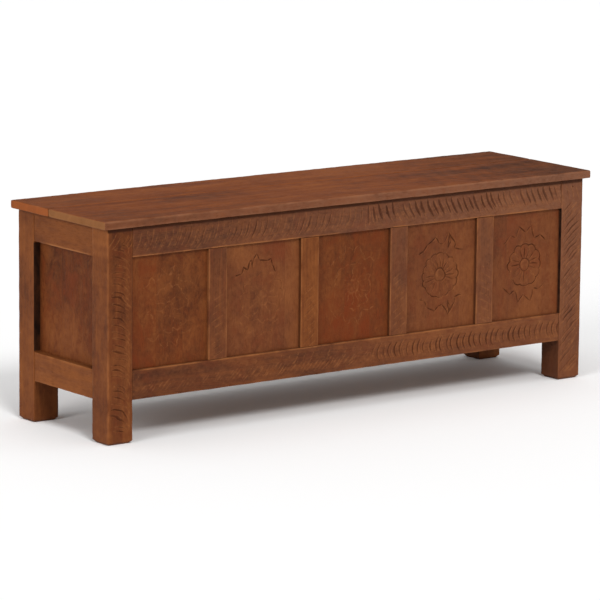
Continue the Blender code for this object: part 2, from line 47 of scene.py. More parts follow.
RAIL_HEIGHT = 53 * MM
FULL_CUT = 1.4 * MM  # the depth from which a cut is stained as wholly carved


# ---- unevenness and cuts

def wander(seed, longest, *places):
    """Smooth unevenness between about -1 and 1: six sines, each along its own direction of the places,
    with a wavelength between a third of longest and longest."""
    rng = np.random.default_rng(seed)
    total = 0.0
    for _ in range(6):
        turn = rng.normal(size=len(places))
        turn /= np.linalg.norm(turn)
        wave = 2 * math.pi / (longest * rng.uniform(0.33, 1.0))
        along = sum(t * p for t, p in zip(turn, places))
        total = total + np.sin(wave * along + rng.uniform(0, 2 * math.pi))
    return total / 2.6


def gouge(distance, width, depth, lean=0.35):
    """Depth of a gouge cut at a signed distance from its line: a steep wall on the near side, lean times
    the width across, and a long slope on the far side, both rounded where they meet."""
    side = np.where(distance < 0, lean, 1.0) * width
    reach = np.clip(1 - np.abs(distance) / np.maximum(side, 1e-6), 0, 1)
    return depth * reach ** 0.9


def segment_distance(x, z, start, end):
    """Signed distance of the points from a straight line between two ends, past which it is measured
    from the end itself, and the share of the way from start to end."""
    ax, az = start
    dx, dz = end[0] - ax, end[1] - az
    length = math.hypot(dx, dz)
    t = np.clip(((x - ax) * dx + (z - az) * dz) / length ** 2, 0, 1)
    away = np.hypot(x - ax - t * dx, z - az - t * dz)
    side = np.sign((x - ax) * dz - (z - az) * dx)
    return away * side, t


def row_of_cuts(family, slope, climb, low, high, pitch, width, depth, seed, lean=0.35, uneven=0.12):
    """Many like cuts side by side. The value family tells the cuts apart, a cut lying where it is a
    whole number of pitches, and slope is its steepness. climb runs along each cut, from low to high.
    Each cut has its own seeded shift, length, width and depth, and tapers to its two ends."""
    rng = np.random.default_rng(seed)
    number = np.round(family / pitch).astype(int)
    first = number.min()
    draw = rng.normal(size=(5, number.max() - first + 1))[:, number - first]
    alternate = (number % 2) * 2 - 1
    distance = (family - number * pitch - draw[0] * uneven * pitch * 0.5) / slope
    bottom = low + (draw[1] * 0.05 + alternate * 0.035) * (high - low)
    top = high + (draw[2] * 0.05 - alternate * 0.03) * (high - low)
    u = np.clip((climb - bottom) / (top - bottom), 0, 1)
    taper = np.sin(math.pi * u) ** 0.45
    wide = width * taper * (1 + 0.12 * draw[3])
    return gouge(distance, wide, depth * taper * (1 + 0.15 * draw[4]), lean)


def top_rail_cuts(x, z):
    """Curved strokes that start upright under the lid and lean outwards from a point right of the middle:
    x = start + lean * fall squared, with lean passing smoothly from -1 to 1 at that point."""
    flip = 0.026
    pitch = 13.8 * MM
    x = x + 0.9 * MM * wander(12, 70 * MM, x, z)
    fall = np.clip(44 * MM - z, 0, None)
    turn = np.tanh((x - flip) / 0.045)
    right = np.clip(0.5 + (x - flip) / 0.03, 0, 1)
    bend = (9.0 + 3.0 * right) * turn
    family = x - bend * fall ** 2 - 0.10 * turn * fall
    slope = np.sqrt(1 + (2 * bend * fall + 0.10 * turn) ** 2)
    fade = np.clip(0.85 + 0.4 * wander(14, 0.12, x, z), 0.55, 1.1)
    deep = (1.35 + 1.05 * right) * MM * fade * np.clip((x + 0.47) / 0.12, 0.6, 1)
    wide = (2.6 + 2.4 * right) * MM
    strokes = row_of_cuts(family, slope, z, (6 + 7 * right) * MM, 47 * MM, pitch, wide, deep, seed=11,
                          uneven=0.2)
    fine = row_of_cuts(family + 6 * MM, slope, z, 4 * MM, 40 * MM, pitch, 1.9 * MM, 0.45 * deep, seed=15,
                       uneven=0.4)
    knot = gouge(np.hypot(x - 0.0716, z - 28.5 * MM), 2.8 * MM, 2.4 * MM, 1.0)
    return np.maximum(np.maximum(strokes, fine), knot)


def bottom_rail_cuts(x, z):
    """Right half: arcs bowed to the left, x = start + bow * (height - middle) squared. Left half: long
    leaning strokes, x = start + lean * height, with a short dash above each."""
    middle = 26 * MM
    bow = 0.030 / MM
    pitch = 13.4 * MM
    x = x + 1.0 * MM * wander(24, 60 * MM, x, z)
    family = x - bow * (z - middle) ** 2 - 0.12 * (z - middle)
    slope = np.sqrt(1 + (2 * bow * (z - middle) + 0.12) ** 2)
    fade = np.clip(0.85 + 0.4 * wander(25, 0.11, x, z), 0.55, 1.1)
    arcs = row_of_cuts(family, slope, z, 9 * MM, 42 * MM, pitch, 3.6 * MM, 2.1 * MM * fade, seed=21,
                       lean=0.45, uneven=0.25)
    fine = row_of_cuts(family + 6 * MM, slope, z, 8 * MM, 33 * MM, pitch, 2.0 * MM, 0.9 * MM * fade, seed=26,
                       uneven=0.4)
    arcs = np.maximum(arcs, fine)
    family = x - 0.95 * z
    fade = np.clip(0.75 + 0.5 * wander(27, 0.10, x, z), 0.25, 1.1) * np.clip((x + 0.30) / 0.06, 0.3, 1)
    strokes = row_of_cuts(family, 1.38, z, 8 * MM, 32 * MM, 9.1 * MM, 3.2 * MM, 0.8 * MM * fade, seed=22,
                          lean=0.5, uneven=0.3)
    dashes = row_of_cuts(x - 0.5 * z + 3 * MM, 1.12, z, 33 * MM, 45 * MM, 18.2 * MM, 2.2 * MM,
                         0.7 * MM * fade, seed=23)
    share = np.clip(0.5 + (x - 0.045) / 0.03, 0, 1)
    return arcs * share + np.maximum(strokes, dashes) * (1 - share)


def leg_head_cuts(x, z, mirrored):
    """A few short leaning strokes at the head of a post: x = start + lean * height."""
    lean = -0.35 if mirrored else 0.8
    family = x - lean * (z - 355 * MM)
    return row_of_cuts(family, math.hypot(1, lean), z, 344 * MM, 372 * MM, 13.5 * MM, 3.2 * MM, 0.85 * MM,
                       seed=35 + mirrored, uneven=0.5)


def crescent_cuts(x, z):
    """Nested crescents up the left post, each a quarter of an ellipse that falls to the right: height =
    foot + tall * sqrt(1 - u squared), where u runs from 0 to 1 across the width."""
    head_cuts = leg_head_cuts(x, z, False)
    x = x + 1.3 * MM * wander(33, 45 * MM, x, z)
    z = z + 2.2 * MM * wander(34, 60 * MM, x, z)
    wide, tall = 38 * MM, 25 * MM
    foot, head = 20 * MM, 350 * MM
    u = (x - 8 * MM) / wide
    inside = np.clip(u, 0, 0.975)
    arch = np.sqrt(1 - inside ** 2)
    slope = np.sqrt(1 + (tall / wide * inside / arch) ** 2)
    climb = np.clip(u, -0.2, 1.2)
    fade = np.clip(0.85 + 0.35 * wander(37, 0.10, x, z), 0.6, 1.1)
    cuts = row_of_cuts(z - tall * arch, slope, climb, 0.0, 1.0, 11.8 * MM, 3.4 * MM, 1.5 * MM * fade, seed=31,
                       lean=0.45, uneven=0.25)
    return np.maximum(cuts * (z < head) * (z > foot), head_cuts)


def slant_cuts(x, z):
    """Long slanting strokes up the right post: height = foot + 0.85 * distance across, with a slight bow."""
    head_cuts = leg_head_cuts(x, z, True)
    foot, head = 16 * MM, 338 * MM
    x = x + 1.0 * MM * wander(38, 40 * MM, x, z)
    bow = 3.0 * MM * np.sin(math.pi * np.clip(x / POST_WIDTH, 0, 1))
    family = z - 0.85 * x - bow
    fade = np.clip(0.85 + 0.4 * wander(39, 0.10, x, z), 0.5, 1.1)
    cuts = row_of_cuts(family, 1.32, x, 2 * MM, 50 * MM, 12.6 * MM, 4.2 * MM, 1.25 * MM * fade, seed=32,
                       lean=0.5, uneven=0.35)
    hole = gouge(np.hypot(x - 26 * MM, z - 368 * MM), 2.2 * MM, 2.4 * MM, 1.0)
    return np.maximum(np.maximum(cuts * (z < head) * (z > foot), hole), head_cuts)


def muntin_cuts(x, z, seed, lean):
    """Faint slanting strokes on the lower half of a muntin: height = foot + lean * distance across."""
    family = z - lean * x
    cuts = row_of_cuts(family, math.hypot(1, lean), x, 6 * MM, 34 * MM, 12.5 * MM, 2.2 * MM, 0.80 * MM,
                       seed=seed)
    return cuts * np.clip((120 * MM - z) / (30 * MM), 0, 1)


# Crown outlines above a rosette, as offsets from its middle in millimetres
CROWN = [(-53, 42), (-34, 57), (-24, 50), (-14, 74), (0, 61), (15, 74), (24, 48), (35, 53), (51, 41)]
CROWN_FOUR = [(-50, 42), (-38, 48), (-30, 60), (-12, 70), (-2, 60), (6, 58), (21, 79), (26, 62), (19, 50),
              (22, 76), (36, 55), (33, 47), (52, 43)]
CROWN_TWO = [(-58, 42), (-47, 47), (-40, 62), (-33, 50), (-30, 66), (-24, 68), (-22, 52), (-20, 68),
             (-14, 80), (-7, 69), (8, 66), (20, 68), (22, 52), (34, 46)]


def broken_line(x, z, points, width, depth, shares):
    """The deepest of the straight cuts that join the points in turn, each tapered at its two ends and with
    its own share of the depth."""
    deepest = np.zeros_like(x)
    for start, end, share in zip(points, points[1:], shares):
        start = (start[0] * MM, start[1] * MM)
        end = (end[0] * MM, end[1] * MM)
        distance, t = segment_distance(x, z, start, end)
        taper = 0.55 + 0.45 * np.sin(math.pi * t)
        deepest = np.maximum(deepest, gouge(distance, width * taper, depth * share * taper, 0.7))
    return deepest


def rosette_cuts(x, z, style):
    """A carved rosette in polar coordinates round its middle: the hub circle r = hub, straight rays out to
    0.86 * rim, and a rim that swells into a scallop between every two or so rays, r = rim + swell *
    |cos(scallops * angle / 2)|. Each ray, scallop and crown line has its own seeded depth. A crown of
    straight cuts stands above, and its mirror image hangs below. Worn rosettes wander and fade more."""
    seed = style["seed"]
    rng = np.random.default_rng(seed)
    rays, scallops, rim, worn = style["rays"], style["scallops"], style["rim"] * MM, style["worn"]
    shake, wave = (0.9 + 2.6 * worn) * MM, (60 - 30 * worn) * MM
    x = x + shake * wander(seed, wave, x, z)
    z = z + shake * wander(seed + 1, wave, x, z)
    radius = np.hypot(x, z)
    angle = np.arctan2(z, x)
    hub = 12.3 * MM
    cuts = gouge(radius - hub, 2.4 * MM, 1.35 * MM, 0.8)
    cuts = np.maximum(cuts, 0.7 * MM * np.clip(1 - radius / (hub * 0.95), 0, 1) ** 0.5 * (radius < hub))
    nearest = np.round(angle / (2 * math.pi / rays))
    number = nearest.astype(int) % rays
    aside = (angle - nearest * 2 * math.pi / rays) * radius
    run = (radius - hub) / (0.86 * rim - hub)
    strong = rng.uniform(0.55, 1.10, rays)
    for where in style.get("strong", ()):
        strong[where % rays] = 1.7
    reach = rng.uniform(0.9, 1.15, rays)[number]
    taper = np.sin(math.pi * np.clip(run / reach, 0, 1) ** 0.7) ** 0.5
    cuts = np.maximum(cuts, gouge(aside, 1.7 * MM, 1.25 * MM * strong[number] * taper, 0.7))
    swing = np.abs(np.cos(scallops * angle / 2))
    scallop = rim + style["swell"] * MM * (swing - 0.35)
    round_rim = 1.7 * MM * np.clip(0.85 + 0.35 * wander(seed + 3, 70 * MM, x, z), 0.5, 1.1)
    cuts = np.maximum(cuts, gouge(radius - scallop, 2.4 * MM, round_rim, 0.6))
    notch = np.clip(1 - swing / 0.30, 0, 1) * np.clip(1 - np.abs(radius - rim + 1.5 * MM) / (3.5 * MM), 0, 1)
    cuts = np.maximum(cuts, 1.6 * MM * notch)
    cuts = cuts * np.clip(0.85 + 0.3 * wander(seed + 2, 80 * MM, x, z), 0.4, 1.15) * style["depth"]
    crown = style["crown"]
    deep = rng.uniform(0.6, 1.1, 2 * len(crown))
    above = broken_line(x, z, crown, 2.4 * MM, 1.9 * MM * style["above"], deep)
    hung = [(a, b * 0.95) for a, b in crown]
    below = broken_line(x, -z, hung, 2.4 * MM, 1.9 * MM * style["below"], deep[::-1])
    return np.maximum(cuts, np.maximum(above, below))


ROSETTES = {
    "front_panel_1": dict(rays=12, scallops=12, rim=39, swell=4, worn=0.9, depth=0.28,
                          crown=CROWN, above=0.26, below=0.26, seed=101),
    "front_panel_2": dict(rays=12, scallops=12, rim=43, swell=5, worn=0.5, depth=0.52,
                          crown=CROWN_TWO, above=1.45, below=0.5, seed=201),
    "front_panel_3": dict(rays=16, scallops=16, rim=39, swell=4, worn=0.7, depth=0.36,
                          crown=CROWN, above=0.30, below=0.30, seed=301),
    "front_panel_4": dict(rays=20, scallops=16, rim=40, swell=2.5, worn=0.05, depth=1.40,
                          crown=CROWN_FOUR, above=1.25, below=1.1, seed=401),
    "front_panel_5": dict(rays=16, scallops=12, rim=38, swell=3, strong=(4, 8, 12), worn=0.15, depth=1.35,
                          crown=CROWN, above=1.15, below=1.0, seed=501),
}


# ---- boards

# stains of each board: places along and across in mm, reach in mm, and the change of tone and warmth
BLOTS = {
    "left_panel": [(141, 105, 58, -0.24, -0.35), (38, 105, 50, 0.12, 0.55), (180, 150, 28, -0.14, 0.5),
                   (85, 40, 30, -0.12, -0.3)],
    "front_panel_1": [(173, 38, 45, 0.12, -0.1), (145, 114, 45, -0.16, 0.45), (30, 20, 18, 0.0, -0.7),
                      (70, 90, 45, -0.06, 0.25)],
    "front_panel_2": [(185, 43, 28, 0.12, 0.7), (193, 132, 34, -0.05, -0.9), (110, 77, 50, -0.12, 0.35),
                      (110, 148, 38, 0.08, 0.4)],
    "front_panel_3": [(42, 69, 58, 0.10, -0.55), (165, 90, 50, -0.10, 0.35)],
    "front_panel_4": [(100, 143, 38, 0.05, 0.6), (160, 30, 32, -0.08, -0.3), (100, 75, 45, -0.08, 0.1)],
    "front_panel_5": [(175, 142, 38, -0.16, 0.3), (150, 30, 35, -0.08, -0.35), (20, 80, 40, 0.08, 0.5)],
    "front_left_leg": [(385, None, 42, 0.75, 1.2), (60, None, 90, -0.14, -0.2)],
    "front_right_leg": [(370, 26, 40, -0.12, -0.2)],
    "front_top_rail": [(60, 25, 60, -0.06, 0.0), (150, 25, 80, -0.14, 0.0), (520, 25, 90, 0.02, -0.15),
                       (640, 25, 60, -0.08, 0.0)],
    "front_bottom_rail": [(110, 40, 70, -0.08, 0.0), (560, 40, 60, -0.08, 0.1), (330, 10, 60, 0.04, 0.2),
                          (370, 30, 60, -0.26, 0.0)],
    "lid_board_front": [(1110, 90, 250, -0.50, 0.30), (560, 60, 160, 0.05, 0.1), (60, 40, 70, -0.10, 0.3),
                        (300, 20, 120, -0.08, 0.2), (1095, None, 45, 0.8, 0.8), (1100, 20, 110, -0.25, 0.2)],
    "lid_board_rear": [(1110, 60, 250, -0.50, 0.30), (700, 110, 130, 0.12, 0.4), (40, 60, 70, -0.10, 0.5)],
}


def spread(low, high, step):
    """Even places from low to high, no further apart than step."""
    return np.linspace(low, high, max(2, int(math.ceil((high - low) / step)) + 1))


def section(width, thick, ease, steps, places=None):
    """A board's rounded cross-section, once round: the outline of a rectangle smaller by ease, carried
    outwards by ease along its normal. Gives the outline, the normals and the distance to an arris."""
    places = places or {}
    turns = 3
    corners = [(width - ease, ease), (width - ease, thick - ease), (ease, thick - ease), (ease, ease)]
    sides = [("back", 0), ("high", 1), ("front", 2), ("low", 3)]
    base, normal, away = [], [], []
    for name, k in sides:
        across = k % 2 == 0
        size = width if across else thick
        flat = np.asarray(places.get(name, spread(ease, size - ease, steps[name])))
        gap = np.minimum(flat - ease, size - ease - flat)
        if k >= 2:
            flat, gap = flat[::-1], gap[::-1]
        fixed = {0: ease, 1: width - ease, 2: thick - ease, 3: ease}[k]
        fixed = np.full_like(flat, fixed)
        base.append(np.stack([flat, fixed] if across else [fixed, flat], 1))
        out = {0: (0, -1), 1: (1, 0), 2: (0, 1), 3: (-1, 0)}[k]
        normal.append(np.tile(np.array(out, float), (len(flat), 1)))
        away.append(gap)
        inner = math.pi / 2 * (k - 1) + np.linspace(0, math.pi / 2, turns + 1)[1:-1]
        base.append(np.tile(np.array(corners[k]), (len(inner), 1)))
        normal.append(np.stack([np.cos(inner), np.sin(inner)], 1))
        away.append(np.zeros(len(inner)))
    return np.concatenate(base), np.concatenate(normal), np.concatenate(away)


def end_rows(kind, size):
    """Rows at a board's end as (distance from the end, inset): square, rounded over a quarter circle,
    or cut off at 45 degrees."""
    if kind == "round":
        t = np.linspace(0, math.pi / 2, 5)
        return [(size * (1 - math.cos(a)), size * (1 - math.sin(a))) for a in t]
    if kind == "chamfer":
        return [(0.0, size), (size * 0.5, size * 0.5), (size, 0.0)]
    return [(0.0, 0.3 * MM), (0.3 * MM, 0.0)]


def board(name, low, high, along, face, finish, body, slot, step=1.0, ease=1.2, steps=None, places=None,
          ends=("square", "square"), end_size=2.0, rows=(), cuts=None, trim=None, tone=(0, 0), warm=0.0,
          strips=(), uneven=0.15, painted_shade=None, flanks=(0, 0), faded=(0, 0), flank_faded=(0, 0), edges=(1, 1),
          end_warm=0.0, end_rub=0.3, seed=0):
    """A board as a rounded section carried along its length. Point = section point + normal * (ease - dent),
    where dent is the carving plus slow unevenness plus wear on the arrises. Step, steps, ease and end_size
    are in mm. Places and rows, in metres, are lines of the grid across the section and along the board.

    The stain and the painted shade are worked out for each point. Tone and faded pass evenly from one end's
    value to the other's.
    Each strip, (place across, tone, warmth), starts at its place. Each of the board's BLOTS adds
    exp(-(distance / reach) squared), and with no place across it lies on the two flanks only. Flanks,
    (tone, warmth), and flank_faded are for the flanks. A mask function, if given, paints shade into corners,
    openings and the band under the lid. Edges scale the wear and the painted highlight of the low and the
    high arrises, and end_rub the wear of the ends."""
    axes = {"x": 0, "y": 1, "z": 2}
    run, out = axes[along], axes[face[1]]
    side = 3 - run - out
    low, high = np.array(low), np.array(high)
    length, width, thick = (high - low)[[run, side, out]]
    ease_m = ease * MM
    grid = {"front": step, "back": 12.0, "low": 12.0, "high": 12.0, **(steps or {})}
    base, normal, away = section(width, thick, ease_m, {k: v * MM for k, v in grid.items()}, places)

    size = end_size * MM
    foot, head = end_rows(ends[0], size), end_rows(ends[1], size)
    clear_low, clear_high = foot[-1][0], length - head[-1][0]
    extra = np.asarray(rows, float) - low[run]
    middle = np.unique(np.concatenate([spread(clear_low, clear_high, step * MM), extra]))
    middle = middle[(middle > clear_low + 1e-6) & (middle < clear_high - 1e-6)]
    rim = 2.0 * MM
    s = np.concatenate([[0], [a for a, _ in foot], middle, [length - a for a, _ in head[::-1]], [length]])
    inset = np.concatenate([[foot[0][1] + rim], [b for _, b in foot], 0 * middle,
                            [b for _, b in head[::-1]], [head[0][1] + rim]])

    a0, o0 = base[:, 0][None, :], base[:, 1][None, :]
    na, no = normal[:, 0][None, :], normal[:, 1][None, :]
    s2 = s[:, None] + 0 * a0
    a2, o2 = a0 + 0 * s2, o0 + 0 * s2
    across = a2 + na * ease_m
    carved = np.zeros_like(s2)
    if cuts is not None:
        on_face = np.clip(no, 0, 1) ** 4 + 0 * s2
        carved = np.maximum(cuts(s2, across), 0) * on_face
    slow = uneven * MM * np.clip(0.5 + 0.5 * wander(seed * 7 + 1, 0.11, s2, a2, o2), 0, 1)
    near = np.exp(-(away[None, :] / (1.3 * MM)) ** 2)
    worn = 0.35 * MM * near * np.clip(0.5 + 0.6 * wander(seed * 7 + 2, 0.05, s2, a2 * 3, o2 * 3), 0, 1)
    dent = carved + slow + worn
    a3 = a2 + na * (ease_m - dent)
    o3 = o2 + no * (ease_m - dent)
    a3 = width / 2 + (a3 - width / 2) * (1 - 2 * inset[:, None] / width)
    o3 = thick / 2 + (o3 - thick / 2) * (1 - 2 * np.minimum(inset[:, None], thick * 0.45) / thick)
    points = np.zeros(s2.shape + (3,))
    points[..., run] = low[run] + s2
    points[..., side] = low[side] + a3
    points[..., out] = low[out] + o3 if face[0] == "+" else high[out] - o3
    if trim is not None:
        points = trim(points)

    # grain coordinates: along, across and out, shifted for each board and each glued strip
    rng = np.random.default_rng(seed + 5000)
    shift = rng.uniform(-3, 3, 3)
    place = np.stack([s2 + shift[0], across + shift[1], o3 + shift[2]], -1)
    light = tone[0] + (tone[1] - tone[0]) * s2 / length
    hue = np.full_like(s2, warm)
    for joint, more, warmer in strips:
        past = np.clip((across - joint * MM) / (0.3 * MM), 0, 1)
        light = light + more * past
        hue = hue + warmer * past
        place[..., 1] += past * 0.37
    end_gap = np.minimum(s - foot[0][0], length - s)
    near_end = np.exp(-(end_gap / (1.6 * MM)) ** 2) * (inset <= max(foot[0][1], 0.3 * MM) + 1e-9)
    # the arris gain scales edge wear, and raises it on some arrises into a painted highlight line
    gain = np.where(a2 < width / 2, edges[0], edges[1])
    arris = np.maximum(near * gain, end_rub * near_end[:, None] + 0 * s2)
    end_cut = (np.minimum(s, length - s) < 0.2 * MM).astype(float)[:, None] + 0 * s2
    arris = np.where(inset[:, None] > max(size, 0.3 * MM) + 0.5 * MM, 0, arris)
    for along_mm, across_mm, reach_mm, more, warmer in BLOTS.get(name, ()):
        aside = 0 if across_mm is None else across - across_mm * MM
        far = np.hypot(s2 - along_mm * MM, aside) / (reach_mm * MM)
        near_blot = np.exp(-(far * (1 + 0.25 * wander(seed * 7 + 3, 0.04, s2, a2))) ** 2)
        if across_mm is None:
            near_blot = near_blot * np.abs(na)
        light = light + more * near_blot
        hue = hue + warmer * near_blot
    light = light + flanks[0] * np.abs(na)
    hue = hue + flanks[1] * np.abs(na)
    hue = np.where(end_cut > 0.5, end_warm, hue)
    pale = faded[0] + (faded[1] - faded[0]) * s2 / length
    pale = pale + (flank_faded[0] + (flank_faded[1] - flank_faded[0]) * s2 / length) * np.abs(na)
    # painted shade: darker in corners, openings and under the lid
    shade_mask = np.zeros_like(s2)
    if painted_shade is not None:
        shade_mask = np.clip(painted_shade(s2, across, o2 + no * ease_m, na, no), 0, 1)

    n_rows, n_loop = s2.shape
    order = np.arange(n_rows * n_loop).reshape(n_rows, n_loop)
    here, there = order[:-1], order[1:]
    quads = np.stack([here, np.roll(here, -1, 1), np.roll(there, -1, 1), there], -1).reshape(-1, 4)
    caps = [order[0][::-1], order[-1]]
    turn = np.linalg.det(np.eye(3)[[run, side, out]]) * (1 if face[0] == "+" else -1)
    if turn < 0:
        quads = quads[:, ::-1]
        caps = [c[::-1] for c in caps]
    layers = {"carved": carved / FULL_CUT, "arris": arris, "tone": light, "warm": hue, "end_cut": end_cut,
              "painted_shade": shade_mask, "faded": pale}
    flat_ends = [ends[0] != "round", ends[1] != "round"]
    mesh = lay_mesh(name, points.reshape(-1, 3), quads, caps, layers, place.reshape(-1, 3), n_loop, flat_ends)
    settle(name, mesh, finish, body)


def lay_mesh(name, points, quads, caps, layers, place, n_loop, flat_ends):
    """A closed mesh from the grid's quads and its two end faces, with the layers as point attributes. It is
    shaded smooth but for the end faces, and the first quads round each flat end."""
    mesh = bpy.data.meshes.new(name)
    mesh.vertices.add(len(points))
    mesh.vertices.foreach_set("co", points.astype(np.float32).ravel())
    sizes = np.concatenate([np.full(len(quads), 4), [len(c) for c in caps]])
    corners = np.concatenate([quads.ravel()] + list(caps)).astype(np.int32)
    starts = np.concatenate([[0], np.cumsum(sizes)[:-1]]).astype(np.int32)
    mesh.loops.add(len(corners))
    mesh.loops.foreach_set("vertex_index", corners)
    mesh.polygons.add(len(sizes))
    mesh.polygons.foreach_set("loop_start", starts)
    smooth = np.ones(len(sizes), bool)
    if flat_ends[0]:
        smooth[:n_loop] = False
        smooth[-2] = False
    if flat_ends[1]:
        smooth[-2 - n_loop:-2] = False
        smooth[-1] = False
    mesh.polygons.foreach_set("use_smooth", smooth)
    mesh.update(calc_edges=True)
    for key, values in layers.items():
        layer = mesh.attributes.new(key, "FLOAT", "POINT")
        layer.data.foreach_set("value", np.ascontiguousarray(values, np.float32).ravel())
    layer = mesh.attributes.new("grain_place", "FLOAT_VECTOR", "POINT")
    layer.data.foreach_set("vector", np.ascontiguousarray(place, np.float32).ravel())
    return mesh


def settle(name, mesh, finish, body):
    """Puts the mesh in the scene as a piece on its body, in place of its CAD node."""
    piece = bpy.data.objects.new("wood_" + name, mesh)
    bpy.context.scene.collection.objects.link(piece)
    mesh.materials.append(finish)
    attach(piece, body)
    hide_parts(name)


# ---- shader helpers

def put(tree, kind, values=None, **settings):
    """A shader node of a kind, with its settings and inputs. An input is a number, a colour, or another
    node's output."""
    node = tree.nodes.new("ShaderNode" + kind)
    for key, value in settings.items():
        setattr(node, key, value)
    for key, value in (values or {}).items():
        socket = node.inputs[key]
        if isinstance(value, bpy.types.NodeSocket):
            tree.links.new(value, socket)
        else:
            socket.default_value = value
    return node


def scaled(tree, value, factor, added=0.0, clamp=False):
    """value * factor + added, each of them a number or another node's output."""
    node = put(tree, "Math", {0: value, 1: factor, 2: added}, operation="MULTIPLY_ADD",
               use_clamp=clamp)
    return node.outputs[0]


def blended(tree, share, first, second):
    """A colour between first and second by share."""
    node = put(tree, "Mix", data_type="RGBA", blend_type="MIX", clamp_factor=True)
    for socket, value in ((0, share), (6, first), (7, second)):
        if isinstance(value, bpy.types.NodeSocket):
            tree.links.new(value, node.inputs[socket])
        else:
            node.inputs[socket].default_value = value
    return node.outputs[2]


def stretch(tree, value, low, high, to_low=0.0, to_high=1.0):
    """value carried evenly from low..high to to_low..to_high, and held at the two ends."""
    node = put(tree, "MapRange", {0: value, 1: low, 2: high, 3: to_low, 4: to_high})
    node.clamp = True
    return node.outputs[0]


def pattern(tree, place, scale, detail=3.0, rough=0.5, distortion=0.0, size=1.0):
    """Noise on coordinates that are first stretched by scale."""
    mapped = put(tree, "Mapping", {0: place, 3: scale})
    noise = put(tree, "TexNoise", {"Vector": mapped.outputs[0], "Scale": size, "Detail": detail,
                                             "Roughness": rough, "Distortion": distortion})
    return noise.outputs[0]


def new_group(name, inputs, outputs):
    """A node group with its named sockets: the group, its inputs as seen inside it, and its outputs."""
    group = bpy.data.node_groups.new(name, "ShaderNodeTree")
    for key, kind, value in inputs:
        socket = group.interface.new_socket(key, in_out="INPUT", socket_type="NodeSocket" + kind)
        if value is not None:
            socket.default_value = value
    for key, kind in outputs:
        group.interface.new_socket(key, in_out="OUTPUT", socket_type="NodeSocket" + kind)
    return group, group.nodes.new("NodeGroupInput").outputs, group.nodes.new("NodeGroupOutput").inputs


def colour(*rgb):
    return (*rgb, 1.0)


def new_material(name):
    """A material, its node tree and its shader."""
    made = bpy.data.materials.new(name)
    made.use_nodes = True
    return made, made.node_tree, made.node_tree.nodes["Principled BSDF"]


def set_relief(tree, shader, strength, depth, height):
    """Small relief of the surface, depth metres at height 1."""
    relief = put(tree, "Bump", {"Strength": strength, "Distance": depth, "Height": height})
    tree.links.new(relief.outputs["Normal"], shader.inputs["Normal"])


# ---- shared effects

FIGURE_MASKS = ("Streaks", "Bands", "Pores", "Patches", "Clouds", "Mottle", "Hue")
STAIN_COLOURS = ("Dark", "Middle", "Light", "Red", "Worn", "End Plain", "End Warm")
# a board's layers as the stain names them, and as its mesh does
LAYERS = {"Carved": "carved", "Arris": "arris", "Tone": "tone", "Warm": "warm", "End Cut": "end_cut",
          "Painted Shade": "painted_shade", "Faded": "faded"}


def make_figure():
    """Wood figure along the first coordinate: long streaks, slow bands, pores and broad patches."""
    outputs = [(key, "Float") for key in FIGURE_MASKS]
    tree, given, out = new_group("wood figure", [("Place", "Vector", None)], outputs)
    place = given["Place"]
    bend = scaled(tree, pattern(tree, place, (3.2, 9.0, 9.0), 2.0), 0.05, -0.025)
    bend = put(tree, "CombineXYZ", {1: bend, 2: bend}).outputs[0]
    bent = put(tree, "VectorMath", {0: place, 1: bend}, operation="ADD").outputs[0]
    moved = put(tree, "VectorMath", {0: place, 1: (3.7, 1.9, 5.3)}, operation="ADD").outputs[0]
    # coordinates, their stretch, detail, roughness and distortion
    noises = (
        (bent, (5.0, 190.0, 110.0), 4.0, 0.55, 0.3),
        (bent, (1.4, 34.0, 20.0), 3.0, 0.5, 0.8),
        (bent, (75.0, 1150.0, 700.0), 2.0, 0.5),
        (place, (9.0, 14.0, 12.0), 3.0, 0.6, 0.6),
        (place, (26.0, 38.0, 30.0), 3.0, 0.6, 0.4),
        (place, (100.0, 115.0, 105.0), 4.0, 0.65, 0.5),
        (moved, (24.0, 32.0, 28.0), 3.0, 0.62, 0.9),
    )
    for key, noise in zip(FIGURE_MASKS, noises):
        low, high = (0.56, 0.68) if key == "Pores" else (0.30, 0.70)
        tree.links.new(stretch(tree, pattern(tree, *noise), low, high), out[key])
    return tree


